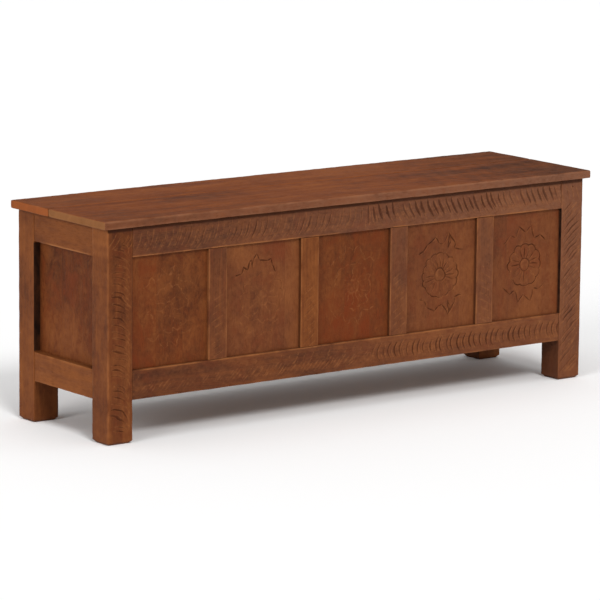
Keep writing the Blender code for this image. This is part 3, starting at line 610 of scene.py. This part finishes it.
def make_stain():
    """Stain over the figure: tone rises with light streaks and patches, falls in pores and cuts, and rubs off
    to bare orange wood on worn arrises, some of them brightened further as a painted highlight. Painted shade
    darkens corners, openings and a band under the lid."""
    amounts = {"Streaks": 0.5, "Bands": 0.5, "Pores": 0.0, "Patches": 0.5, "Clouds": 0.5, "Mottle": 0.5,
               "Hue": 0.5, **dict.fromkeys(LAYERS, 0.0), "Figure": 0.5, "Blotch": 0.5, "Rub": 0.3,
               "Mottling": 0.2, "Tint": 0.5, "Flecks": 0.7}
    inputs = [(key, "Float", value) for key, value in amounts.items()]
    inputs += [(key, "Color", None) for key in STAIN_COLOURS]
    outputs = [("Colour", "Color"), ("Gloss", "Float"), ("Height", "Float")]
    tree, given, out = new_group("rubbed stain", inputs, outputs)

    clouds = scaled(tree, scaled(tree, given["Clouds"], 1.0, -0.5), given["Blotch"])
    level = scaled(tree, clouds, 0.6, given["Tone"])
    for key, share in (("Streaks", "Figure"), ("Bands", "Figure"), ("Patches", "Blotch"),
                       ("Mottle", "Mottling")):
        level = scaled(tree, scaled(tree, given[key], 1.0, -0.5), given[share], level)
    level = scaled(tree, level, 1.0, 0.5)
    low = blended(tree, stretch(tree, level, 0.0, 0.5), given["Dark"], given["Middle"])
    base = blended(tree, stretch(tree, level, 0.5, 1.0), low, given["Light"])

    # redder or warmer by patches
    turn = scaled(tree, scaled(tree, given["Hue"], 1.0, -0.5), given["Tint"])
    hue = scaled(tree, clouds, 0.5, scaled(tree, turn, 2.0, given["Warm"]))
    milky = scaled(tree, scaled(tree, given["Mottle"], 0.6, 0.7), given["Faded"], clamp=True)

    # cuts are worn pale at the lip and dark at the bottom
    lip = stretch(tree, given["Carved"], 0.02, 0.25)
    lip = scaled(tree, lip, stretch(tree, given["Carved"], 0.60, 0.20))
    lip = scaled(tree, lip, stretch(tree, given["Mottle"], 0.30, 0.85, 0.12, 1.0))
    deep = stretch(tree, given["Carved"], 0.30, 0.95)
    dark_cut = blended(tree, 0.50, given["Dark"], colour(0.016, 0.0045, 0.0018))

    # rubbed arrises with their painted highlights, end grain, and painted shade in the corners, the openings
    # and under the lid
    rub = stretch(tree, scaled(tree, given["Clouds"], 1.0, given["Patches"]), 0.55, 1.35)
    rub = scaled(tree, rub, given["Arris"])
    end = blended(tree, given["Warm"], given["End Plain"], given["End Warm"])
    end = blended(tree, scaled(tree, given["Bands"], -0.25, 0.25), end, given["Dark"])
    # painted shade by its mask: dark brown, and near black where the mask is full
    shade_share = scaled(tree, scaled(tree, given["Clouds"], 0.3, 0.75), given["Painted Shade"], clamp=True)
    full = stretch(tree, given["Painted Shade"], 0.88, 1.0)
    shade_colour = blended(tree, full, colour(0.036, 0.0090, 0.0026), colour(0.008, 0.0028, 0.0014))

    # each laid over the ones before it, by its share
    for share, over in (
        (scaled(tree, hue, -0.8, clamp=True), given["Red"]),
        (scaled(tree, hue, 0.45, clamp=True), given["Light"]),
        (milky, colour(0.185, 0.080, 0.045)),
        (scaled(tree, given["Pores"], 0.30), given["Dark"]),
        (scaled(tree, lip, given["Flecks"]), given["Worn"]),
        (scaled(tree, deep, 0.52), dark_cut),
        (scaled(tree, rub, given["Rub"]), given["Worn"]),
        (scaled(tree, given["End Cut"], 0.85), end),
        (shade_share, shade_colour),
    ):
        base = blended(tree, share, base, over)
    tree.links.new(base, out["Colour"])

    gloss = scaled(tree, given["Pores"], 0.16, scaled(tree, given["Streaks"], 0.10))
    gloss = scaled(tree, deep, 0.22, gloss)
    tree.links.new(scaled(tree, given["Patches"], 0.10, gloss), out["Gloss"])
    height = scaled(tree, given["Pores"], -0.8, scaled(tree, given["Streaks"], 0.35))
    tree.links.new(scaled(tree, given["Clouds"], 0.25, height), out["Height"])
    return tree


FIGURE = make_figure()
STAIN = make_stain()


def wood(name, colours, rough, gloss, bump, figure, blotch, rub=0.3, mottling=0.2, tint=0.5, flecks=0.7,
         ends=None, own_place=False):
    """Stained wood in five colours, dark, middle, light, red and worn. Its figure follows the board's own
    grain coordinates, or the object's with own_place."""
    made, tree, shader = new_material(name)
    if own_place:
        here = put(tree, "TexCoord").outputs["Object"]
        turned = {0: here, 1: (0.7, 0.2, 0.4), 2: (0, 0, math.pi / 2)}
        place = put(tree, "Mapping", turned).outputs[0]
    else:
        place = put(tree, "Attribute", attribute_name="grain_place").outputs["Vector"]
    look = put(tree, "Group", {"Place": place}, node_tree=FIGURE)
    stain = put(tree, "Group", node_tree=STAIN)
    for key in FIGURE_MASKS:
        tree.links.new(look.outputs[key], stain.inputs[key])
    if not own_place:
        for key, layer in LAYERS.items():
            source = put(tree, "Attribute", attribute_name=layer)
            tree.links.new(source.outputs["Fac"], stain.inputs[key])
    for key, value in zip(STAIN_COLOURS, (*colours, *(ends or colours[1:3]))):
        stain.inputs[key].default_value = colour(*value)
    for key, value in (("Figure", figure), ("Blotch", blotch), ("Rub", rub), ("Mottling", mottling),
                       ("Tint", tint), ("Flecks", flecks)):
        stain.inputs[key].default_value = value
    tree.links.new(stain.outputs["Colour"], shader.inputs["Base Color"])
    tree.links.new(scaled(tree, stain.outputs["Gloss"], 1.0, rough, clamp=True), shader.inputs["Roughness"])
    set_relief(tree, shader, bump, 0.0006, stain.outputs["Height"])
    shader.inputs["Specular IOR Level"].default_value = gloss
    return made


DARK = (0.046, 0.0120, 0.0045)
MIDDLE = (0.132, 0.0360, 0.0095)
LIGHT = (0.230, 0.0720, 0.0180)
RED = (0.130, 0.0240, 0.0060)
WORN = (0.300, 0.1100, 0.0350)

BARE = ((0.085, 0.0340, 0.0150), (0.180, 0.0850, 0.0400), (0.280, 0.1500, 0.0750), (0.180, 0.0650, 0.0270),
        (0.320, 0.1800, 0.0950))

frame_wood = wood("stained_frame_wood", (DARK, MIDDLE, LIGHT, RED, WORN), 0.50, 0.09, 0.35, 0.28, 0.34,
                  mottling=0.20, tint=0.45, flecks=0.52, rub=0.36)
panel_wood = wood("stained_panel_wood", (DARK, (0.138, 0.0360, 0.0090), LIGHT, (0.150, 0.0290, 0.0060), WORN),
                  0.50, 0.09, 0.35, 0.09, 0.26, mottling=0.28, tint=0.62, flecks=0.42)
lid_wood = wood("stained_lid_wood",
                ((0.058, 0.0155, 0.0045), (0.178, 0.0455, 0.0110), (0.275, 0.0840, 0.0220), RED,
                 (0.270, 0.1180, 0.0600)), 0.52, 0.06, 0.30, 0.30, 0.26, rub=0.5, mottling=0.10, tint=0.3,
                ends=((0.262, 0.110, 0.038), (0.300, 0.080, 0.020)))
inner_wood = wood("bare_inner_wood", BARE, 0.60, 0.3, 0.5, 0.45, 0.30)
batten_wood = wood("bare_batten_wood", BARE, 0.60, 0.3, 0.5, 0.45, 0.30, own_place=True)


def aged_brass():
    """Brass gone brown in patches, brighter and smoother where it is rubbed."""
    made, tree, shader = new_material("aged_hinge_brass")
    here = put(tree, "TexCoord").outputs["Object"]
    tarnish = stretch(tree, pattern(tree, here, (140.0, 140.0, 140.0), 4.0, 0.6, 0.5), 0.38, 0.62)
    brushed = pattern(tree, here, (90.0, 1600.0, 900.0), 2.0)
    base = blended(tree, tarnish, colour(0.46, 0.30, 0.11), colour(0.20, 0.115, 0.045))
    base = blended(tree, scaled(tree, brushed, 0.25), base, colour(0.58, 0.42, 0.20))
    tree.links.new(base, shader.inputs["Base Color"])
    tree.links.new(scaled(tree, tarnish, 0.25, 0.30), shader.inputs["Roughness"])
    set_relief(tree, shader, 0.3, 0.0002, brushed)
    shader.inputs["Metallic"].default_value = 1.0
    return made


hinge_brass = aged_brass()


# ---- carcass

def edge(node, corner, axis):
    """A face of a CAD node's box: corner 0 is the low one and 1 the high one."""
    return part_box(node)[corner]["xyz".index(axis)]


def fitted(node, axis, first, last):
    """A CAD node's box, cut along one axis to lie just between the lines first and last."""
    low, high = (list(v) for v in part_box(node))
    k = "xyz".index(axis)
    low[k], high[k] = first + GAP, last - GAP
    return low, high


GAP = 0.25 * MM
GROOVE = 7.5 * MM  # how far a panel goes into its frame
END_RECESS = 14.6 * MM  # from an end frame's outer face to its panel
FACE_LINE = 43 * MM  # from a front post's rear face to the front panels
HINGE_PLACE = 0.360  # from the middle of the bench to the middle of each hinge
CARCASS_WOOD = (frame_wood, "carcass", "frame_wood")

TOP = edge("front_top_rail", 1, "z")
post_left = edge("front_left_leg", 1, "x")
post_right = edge("front_right_leg", 0, "x")
low_rail_top = edge("front_bottom_rail", 1, "z")
low_rail_under = edge("front_bottom_rail", 0, "z")
top_rail_under = edge("front_top_rail", 0, "z")
post_behind = edge("front_left_leg", 1, "y")
rear_post_before = edge("rear_left_leg", 0, "y")


def shade(distance, reach):
    """1 at the line and in front of it, and off smoothly behind it."""
    return np.exp(-(np.clip(distance, 0, None) / reach) ** 2)


def band(distance, reach):
    """1 up to reach from the line, then off over the next 2.5 mm."""
    return np.clip((reach - distance) / (2.5 * MM) + 1, 0, 1)


def leg_painted_shade(front, left):
    """Painted shadow under the lid, and painted shade on the sides of the post inside the openings and on an
    inner face below the bottom rail.
    """
    def painted_shade(s, a, o, na, no):
        outer = a if left else POST_WIDTH - a
        opening = (s > low_rail_top) * (s < top_rail_under)
        end_opening = (no < 0) * (outer < END_RECESS) * opening
        face_opening = (na > 0 if left else na < 0) * (o > FACE_LINE) * opening
        reach = (4.6 if left else 5.4) * MM
        under_lid = 0.85 * band(TOP - s, reach) * (no > 0) if front else 0.6 * shade(TOP - s, 3 * MM)
        side_lid = 0.8 * shade(TOP - s, 2.2 * MM)
        below = (0.35 * (no < -0.7) if left else 0.62 * (na < -0.7)) * (s < low_rail_under)
        openings = np.maximum(np.maximum(end_opening, face_opening), below)
        return np.maximum(openings, np.maximum(under_lid, side_lid))
    return painted_shade


def rail_painted_shade(top, lid_shade=0.0):
    """Painted shade on the edge that faces the opening, and a painted shadow band under the lid on a top
    rail.
    """
    def painted_shade(s, a, o, na, no):
        if not top:
            return 0.40 * (na > 0.8) + 0 * s
        reach = lid_shade * (0.72 + 0.30 * s / s.max())
        return np.maximum(0.8 * (na < -0.8), 0.80 * band(RAIL_HEIGHT - a, reach))
    return painted_shade


def muntin_painted_shade(amount):
    """Painted shade on both edges, which face into the openings."""
    def painted_shade(s, a, o, na, no):
        return (np.abs(na) > 0.9) * amount + 0 * s
    return painted_shade


def panel_painted_shade(width, reach, amount):
    """Painted shade along one upright edge and the foot, on the outer face, where the frame shades the panel.
    """
    def painted_shade(s, a, o, na, no):
        aside = amount * shade(width - a - GROOVE, reach)
        foot = 0.35 * shade(s - GROOVE, 0.7 * reach)
        return np.maximum(aside, foot) * (no > 0.5)
    return painted_shade


# name, carving, tone, warmth, flanks, faded
LEGS = [
    ("front_left_leg", crescent_cuts, (0.12, -0.16), -0.02, (0.0, 0.35), (0.05, 0.0)),
    ("front_right_leg", slant_cuts, (0.12, 0.12), 0.02, (0.0, 0.0), (0.30, 0.60)),
    ("rear_left_leg", None, (0.07, 0.04), 0.40, (0.05, 0.1), (0, 0)),
    # the rear right post's tone is raised towards its foot as painted light, against the shade the bench
    # casts there
    ("rear_right_leg", None, (0.30, 0.05), 0.1, (0.0, 0.0), (0, 0)),
]
for k, (name, cut, tone, warm, flanks, faded) in enumerate(LEGS):
    low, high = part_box(name)
    carve = (lambda s, a, cut=cut: cut(a, s)) if cut else None
    board(name, low, high, "z", "-y" if cut else "+y", *CARCASS_WOOD, step=0.9 if cut else 4.0, ease=1.5,
          steps={"back": 4.0, "low": 4.0, "high": 4.0}, ends=("chamfer", "square"), end_size=5.0, cuts=carve,
          tone=tone, warm=warm, flanks=flanks, faded=faded, edges=(1.0, 0.4) if k == 0 else (0.4, 1.0),
          end_rub=1.0, painted_shade=leg_painted_shade(bool(cut), "left" in name), seed=10 + k)

# name, carving, tone, warmth, step, faded, wear and painted highlight of the low and high arrises
RAILS = [
    ("front_top_rail", top_rail_cuts, (-0.14, 0.12), -0.05, 0.9, (0.20, 0.60), (3.0, 1)),
    ("front_bottom_rail", bottom_rail_cuts, (-0.14, 0.17), 0.0, 0.9, (0.1, 0.25), (1.5, 2.2)),
    ("rear_bottom_rail", None, (0.0, 0.05), 0.0, 5.0, (0, 0), (1, 1)),
]
for k, (name, cut, tone, warm, step, faded, edges) in enumerate(RAILS):
    low, high = fitted(name, "x", post_left, post_right)
    carve = (lambda s, a, cut=cut, first=low[0]: cut(s + first, a)) if cut else None
    board(name, low, high, "x", "-y" if cut else "+y", *CARCASS_WOOD, step=step, cuts=carve, tone=tone,
          warm=warm, painted_shade=rail_painted_shade("top" in name, 5.4 * MM), faded=faded, edges=edges, seed=20 + k)


def press_seats(points, top, up):
    """Lets the hinges in: within each hinge's length the wood within 5 mm of the face at height top is
    squeezed back to the seat, which is a flat bed for the leaf and a round for the knuckles."""
    bed_half, bed_width, bed_depth = 30.3 * MM, 20.3 * MM, 1.95 * MM
    round_half, round_radius = 31.9 * MM, 3.5 * MM
    pin_y = (edge("hinge_pin_left", 0, "y") + edge("hinge_pin_left", 1, "y")) / 2
    pin_z = (edge("hinge_pin_left", 0, "z") + edge("hinge_pin_left", 1, "z")) / 2
    x, y, z = points[..., 0], points[..., 1], points[..., 2]
    across = np.abs(np.abs(x) - HINGE_PLACE)
    bed = (across < bed_half) & (y > pin_y - bed_width) & (y < pin_y)
    seat = np.where(bed, bed_depth, 0.0)
    round_room = np.sqrt(np.clip(round_radius ** 2 - (y - pin_y) ** 2, 0, None)) * (across < round_half)
    seat = pin_z + up * np.maximum(seat, round_room)
    deeper = np.maximum(up * (seat - top), 0)
    keep = top + up * 5 * MM
    share = np.clip((keep - z) / (keep - top), 0, 1)
    points[..., 2] = z + up * deeper * share
    return points


# lines of the grid close on both sides of each step of the seats, along the bench and across it
HINGE_ROWS = [side * HINGE_PLACE + way * reach for side in (-1, 1) for way in (-1, 1)
              for reach in (0.03025, 0.03035, 0.03185, 0.03195)]
rail_places = np.array([1.2, 3.6, 3.72, 3.80, 6.0, 10.0, 15.0, 19.0, 20.4, 20.8]) * MM
low, high = fitted("rear_top_rail", "x", post_left, post_right)
board("rear_top_rail", low, high, "x", "+y", *CARCASS_WOOD, step=5.0, places={"high": rail_places},
      rows=HINGE_ROWS, tone=(0.05, 0.0), seed=25, painted_shade=rail_painted_shade(True, 3.0 * MM),
      trim=lambda p: press_seats(p, high[2], -1))

# name, lean of its strokes, tone, warmth, faded
MUNTINS = [
    ("front_muntin_1", 0.45, (-0.04, -0.08), 0.0, (0.15, 0.15)),
    ("front_muntin_2", 0.7, (0.10, 0.12), 0.35, (0, 0)),
    ("front_muntin_3", 0.6, (-0.04, -0.02), -0.05, (0.2, 0.3)),
    ("front_muntin_4", -0.5, (-0.05, -0.05), 0.0, (0.3, 0.3)),
    ("rear_muntin", None, (0.0, 0.0), 0.0, (0, 0)),
]
for k, (name, lean, tone, warm, faded) in enumerate(MUNTINS):
    low, high = fitted(name, "z", low_rail_top, top_rail_under)
    carve = None
    if lean:
        def carve(s, a, lean=lean, seed=60 + k):
            return muntin_cuts(a, s, seed, lean)
    board(name, low, high, "z", "-y" if lean else "+y", *CARCASS_WOOD, step=1.0 if lean else 5.0,
          cuts=carve, tone=tone, warm=warm, painted_shade=muntin_painted_shade(0.3 if k == 0 else 0.8), faded=faded,
          edges=(1.6, 1.8), seed=30 + k)

# part, tone, warmth, wear and painted highlight of the low and high arrises
END_RAILS = [
    ("top_rail", (0.06, 0.05), 0.75, (4.0, 1.0)),
    ("bottom_rail", (0.26, 0.20), 0.45, (1.0, 1.5)),
]
for k, (word, outside) in enumerate((("left", "-x"), ("right", "+x"))):
    for j, (part, tone, warm, edges) in enumerate(END_RAILS):
        name = f"{word}_{part}"
        low, high = fitted(name, "y", post_behind, rear_post_before)
        board(name, low, high, "y", outside, *CARCASS_WOOD, step=3.0, steps={"back": 6.0}, tone=tone,
              warm=warm, edges=edges, painted_shade=rail_painted_shade("top" in part, 2.5 * MM), seed=40 + 2 * k + j)

# distances across a panel at which another glued strip starts, with the change of tone and warmth
STRIPS = {
    "front_panel_1": [(62, -0.04, 0.3), (118, -0.02, 0.15)],
    "front_panel_2": [(48, -0.02, 0.0), (138, 0.08, 0.45)],
    "front_panel_3": [(70, -0.02, -0.25), (128, 0.05, 0.15)],
    "front_panel_4": [(58, 0.03, 0.0), (134, 0.02, 0.25)],
    "front_panel_5": [(44, 0.03, -0.1), (150, 0.06, -0.2)],
    "left_panel": [(58, 0.02, 0.1), (120, -0.05, -0.15)],
    "right_panel": [(70, 0.04, 0.1)],
    "rear_panel_1": [(70, 0.04, 0.1), (140, -0.05, -0.1), (240, 0.05, 0.0), (330, -0.02, 0.1),
                     (410, 0.0, -0.1)],
    "rear_panel_2": [(90, -0.04, -0.1), (180, 0.05, 0.1), (260, -0.05, 0.0), (350, 0.06, 0.1),
                     (430, -0.02, -0.1)],
}
# tone at the foot and at the head, and warmth
TONES = {
    "front_panel_1": (-0.02, 0.0, -0.30),
    "front_panel_2": (-0.02, 0.10, -0.05),
    "front_panel_3": (-0.06, -0.06, -0.20),
    "front_panel_4": (0.04, 0.02, 0.02),
    "front_panel_5": (0.02, 0.04, 0.0),
    "left_panel": (0.08, -0.08, 0.0),
}
FADED_PANELS = ("front_panel_2", "front_panel_4", "front_panel_5")
middle_height = (low_rail_top + top_rail_under) / 2
for k, (name, strips) in enumerate(STRIPS.items()):
    low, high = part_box(name)
    outside = {"front": "-y", "rear": "+y", "left": "-x", "right": "+x"}[name.split("_")[0]]
    across = 0 if outside[1] == "y" else 1
    width = high[across] - low[across]
    carve = None
    if name in ROSETTES:
        def carve(s, a, style=ROSETTES[name], half=width / 2, up=middle_height - low[2]):
            return rosette_cuts(a - half, s - up, style)
    start, end, warm = TONES.get(name, (0.0, 0.0, 0.0))
    board(name, low, high, "z", outside, panel_wood, "carcass", "panel_wood", step=0.85 if carve else 4.0,
          ease=0.6, cuts=carve, tone=(start, end), warm=warm, strips=strips, uneven=0.3,
          faded=(0.14, 0.14) if name in FADED_PANELS else (0, 0),
          painted_shade=panel_painted_shade(width, 1.4 * MM, 0.15 if name == "front_panel_1" else 0.6), seed=50 + k)

# ---- floor of the chest

inside_front = edge("front_bottom_rail", 1, "y")
inside_rear = edge("rear_bottom_rail", 0, "y")
for k, word in enumerate(("left", "middle", "right")):
    name = f"floor_bearer_{word}"
    low, high = fitted(name, "y", inside_front, inside_rear)
    board(name, low, high, "y", "+z", inner_wood, "carcass", "inner_wood", step=4.0, ease=0.8, seed=70 + k)


def notched(points, kept, past):
    """Squeezes the board clear of the posts: beyond x = past, its width ends at the line y = kept."""
    x, y = points[..., 0], points[..., 1]
    lowest, highest = y.min(), y.max()
    if kept < (lowest + highest) / 2:
        shorter = kept + (y - lowest) * (highest - kept) / (highest - lowest)
    else:
        shorter = lowest + (y - lowest) * (kept - lowest) / (highest - lowest)
    points[..., 1] = np.where(np.abs(x) > past, shorter, y)
    return points


PLAY = 0.6 * MM
NOTCH = post_right - PLAY
ENDS_AT = {"front": post_behind + PLAY, "middle": None, "rear": rear_post_before - PLAY}
for k, (word, kept) in enumerate(ENDS_AT.items()):
    name = f"floor_board_{word}"
    low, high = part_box(name)
    trim = (lambda p, kept=kept: notched(p, kept, NOTCH)) if kept else None
    board(name, low, high, "x", "+z", inner_wood, "carcass", "inner_wood", step=5.0, ease=0.8,
          rows=[side * NOTCH + way * 0.02 * MM for side in (-1, 1) for way in (-1, 1)],
          trim=trim, tone=(0.05 * (k - 1), 0.03), seed=75 + k)

# ---- lid

low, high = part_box("lid_board_front")
board("lid_board_front", low, high, "x", "+z", lid_wood, "lid", "lid_wood", step=2.5, ease=2.0,
      steps={"front": 2.5, "back": 8.0, "low": 2.0, "high": 4.0}, ends=("round", "round"), end_size=2.0,
      tone=(-0.04, 0.08), uneven=0.25, edges=(0.9, 0.1), flanks=(-0.14, -0.25), flank_faded=(0.40, 0.85),
      end_rub=1.0, seed=80)

low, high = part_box("lid_board_rear")
seat_places = np.array([95.54, 95.62, 100.0, 106.0, 110.0, 112.4, 113.2, 114.4, 115.9, 117.3, 118.6, 119.35,
                        119.6, 119.85]) * MM
lid_places = np.concatenate([spread(2.0 * MM, 94 * MM, 8 * MM), seat_places])
board("lid_board_rear", low, high, "x", "+z", lid_wood, "lid", "lid_wood", step=2.5, ease=2.0,
      steps={"front": 2.5, "low": 4.0, "high": 2.0}, places={"back": lid_places}, rows=HINGE_ROWS,
      ends=("round", "round"), end_size=2.0, tone=(0.02, 0.04), warm=0.10, uneven=0.25, end_warm=1.0,
      edges=(0.1, 1.0), end_rub=1.0, seed=81, trim=lambda p: press_seats(p, low[2], 1))

# ---- CAD nodes that show as they are

for name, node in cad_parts.items():
    if node.hide_render:
        continue
    metal = name.startswith("hinge") or "screw" in name
    node.data.materials.clear()
    node.data.materials.append(hinge_brass if metal else batten_wood)

# ---- floor, light and camera

def studio():
    """A wide pale floor, soft light from the left, the front and above, and an even fill."""
    mesh = bpy.data.meshes.new("studio_floor")
    half = 60.0
    corners = [(-half, -half, 0), (half, -half, 0), (half, half, 0), (-half, half, 0)]
    mesh.from_pydata(corners, [], [(0, 1, 2, 3)])
    ground = bpy.data.objects.new("studio_floor", mesh)
    bpy.context.scene.collection.objects.link(ground)
    paint, _, shader = new_material("pale_floor")
    shader.inputs["Base Color"].default_value = colour(0.97, 0.97, 0.97)
    shader.inputs["Roughness"].default_value = 0.9
    shader.inputs["Specular IOR Level"].default_value = 0.1
    mesh.materials.append(paint)

    world = bpy.data.worlds.new("studio_air")
    world.use_nodes = True
    world.node_tree.nodes["Background"].inputs[0].default_value = colour(1.0, 1.0, 1.0)
    world.node_tree.nodes["Background"].inputs[1].default_value = 0.46
    bpy.context.scene.world = world

    # name, direction round from the front towards the left, height above the horizon, spread, strength
    for name, around, up, spread_angle, power in (
        ("left_light", 74, 22, 26, 1.12),
        ("front_light", 16, 42, 16, 1.38),
        ("top_light", 0, 84, 70, 0.55),
    ):
        lamp = bpy.data.lights.new(name, "SUN")
        lamp.angle = math.radians(spread_angle)
        lamp.energy = power
        around, up = math.radians(around), math.radians(up)
        away = Vector((-math.sin(around) * math.cos(up), -math.cos(around) * math.cos(up), math.sin(up)))
        box = bpy.data.objects.new(name, lamp)
        box.matrix_world = Matrix.Translation(away * 4) @ away.to_track_quat("Z", "Y").to_matrix().to_4x4()
        bpy.context.scene.collection.objects.link(box)


def set_camera():
    """A long lens from the front left, a little above the bench."""
    view = bpy.data.cameras.new("camera")
    view.lens = 238.08
    view.sensor_width = 36.0
    view.clip_end = 100.0
    camera = bpy.data.objects.new("camera", view)
    yaw, pitch, roll = 0.6422, 0.1821, 0.0096
    ahead = Vector((math.sin(yaw) * math.cos(pitch), math.cos(yaw) * math.cos(pitch), -math.sin(pitch)))
    aside = Vector((math.cos(yaw), -math.sin(yaw), 0))
    above = aside.cross(ahead)
    turn = Matrix((aside, above, -ahead)).transposed().to_4x4()
    place = Vector((-4.30678, -5.73404, 1.50270))
    camera.matrix_world = Matrix.Translation(place) @ turn @ Matrix.Rotation(roll, 4, "Z")
    bpy.context.scene.collection.objects.link(camera)
    bpy.context.scene.camera = camera


studio()
set_camera()
bpy.context.scene.view_settings.view_transform = "Standard"

bpy.context.view_layer.update()
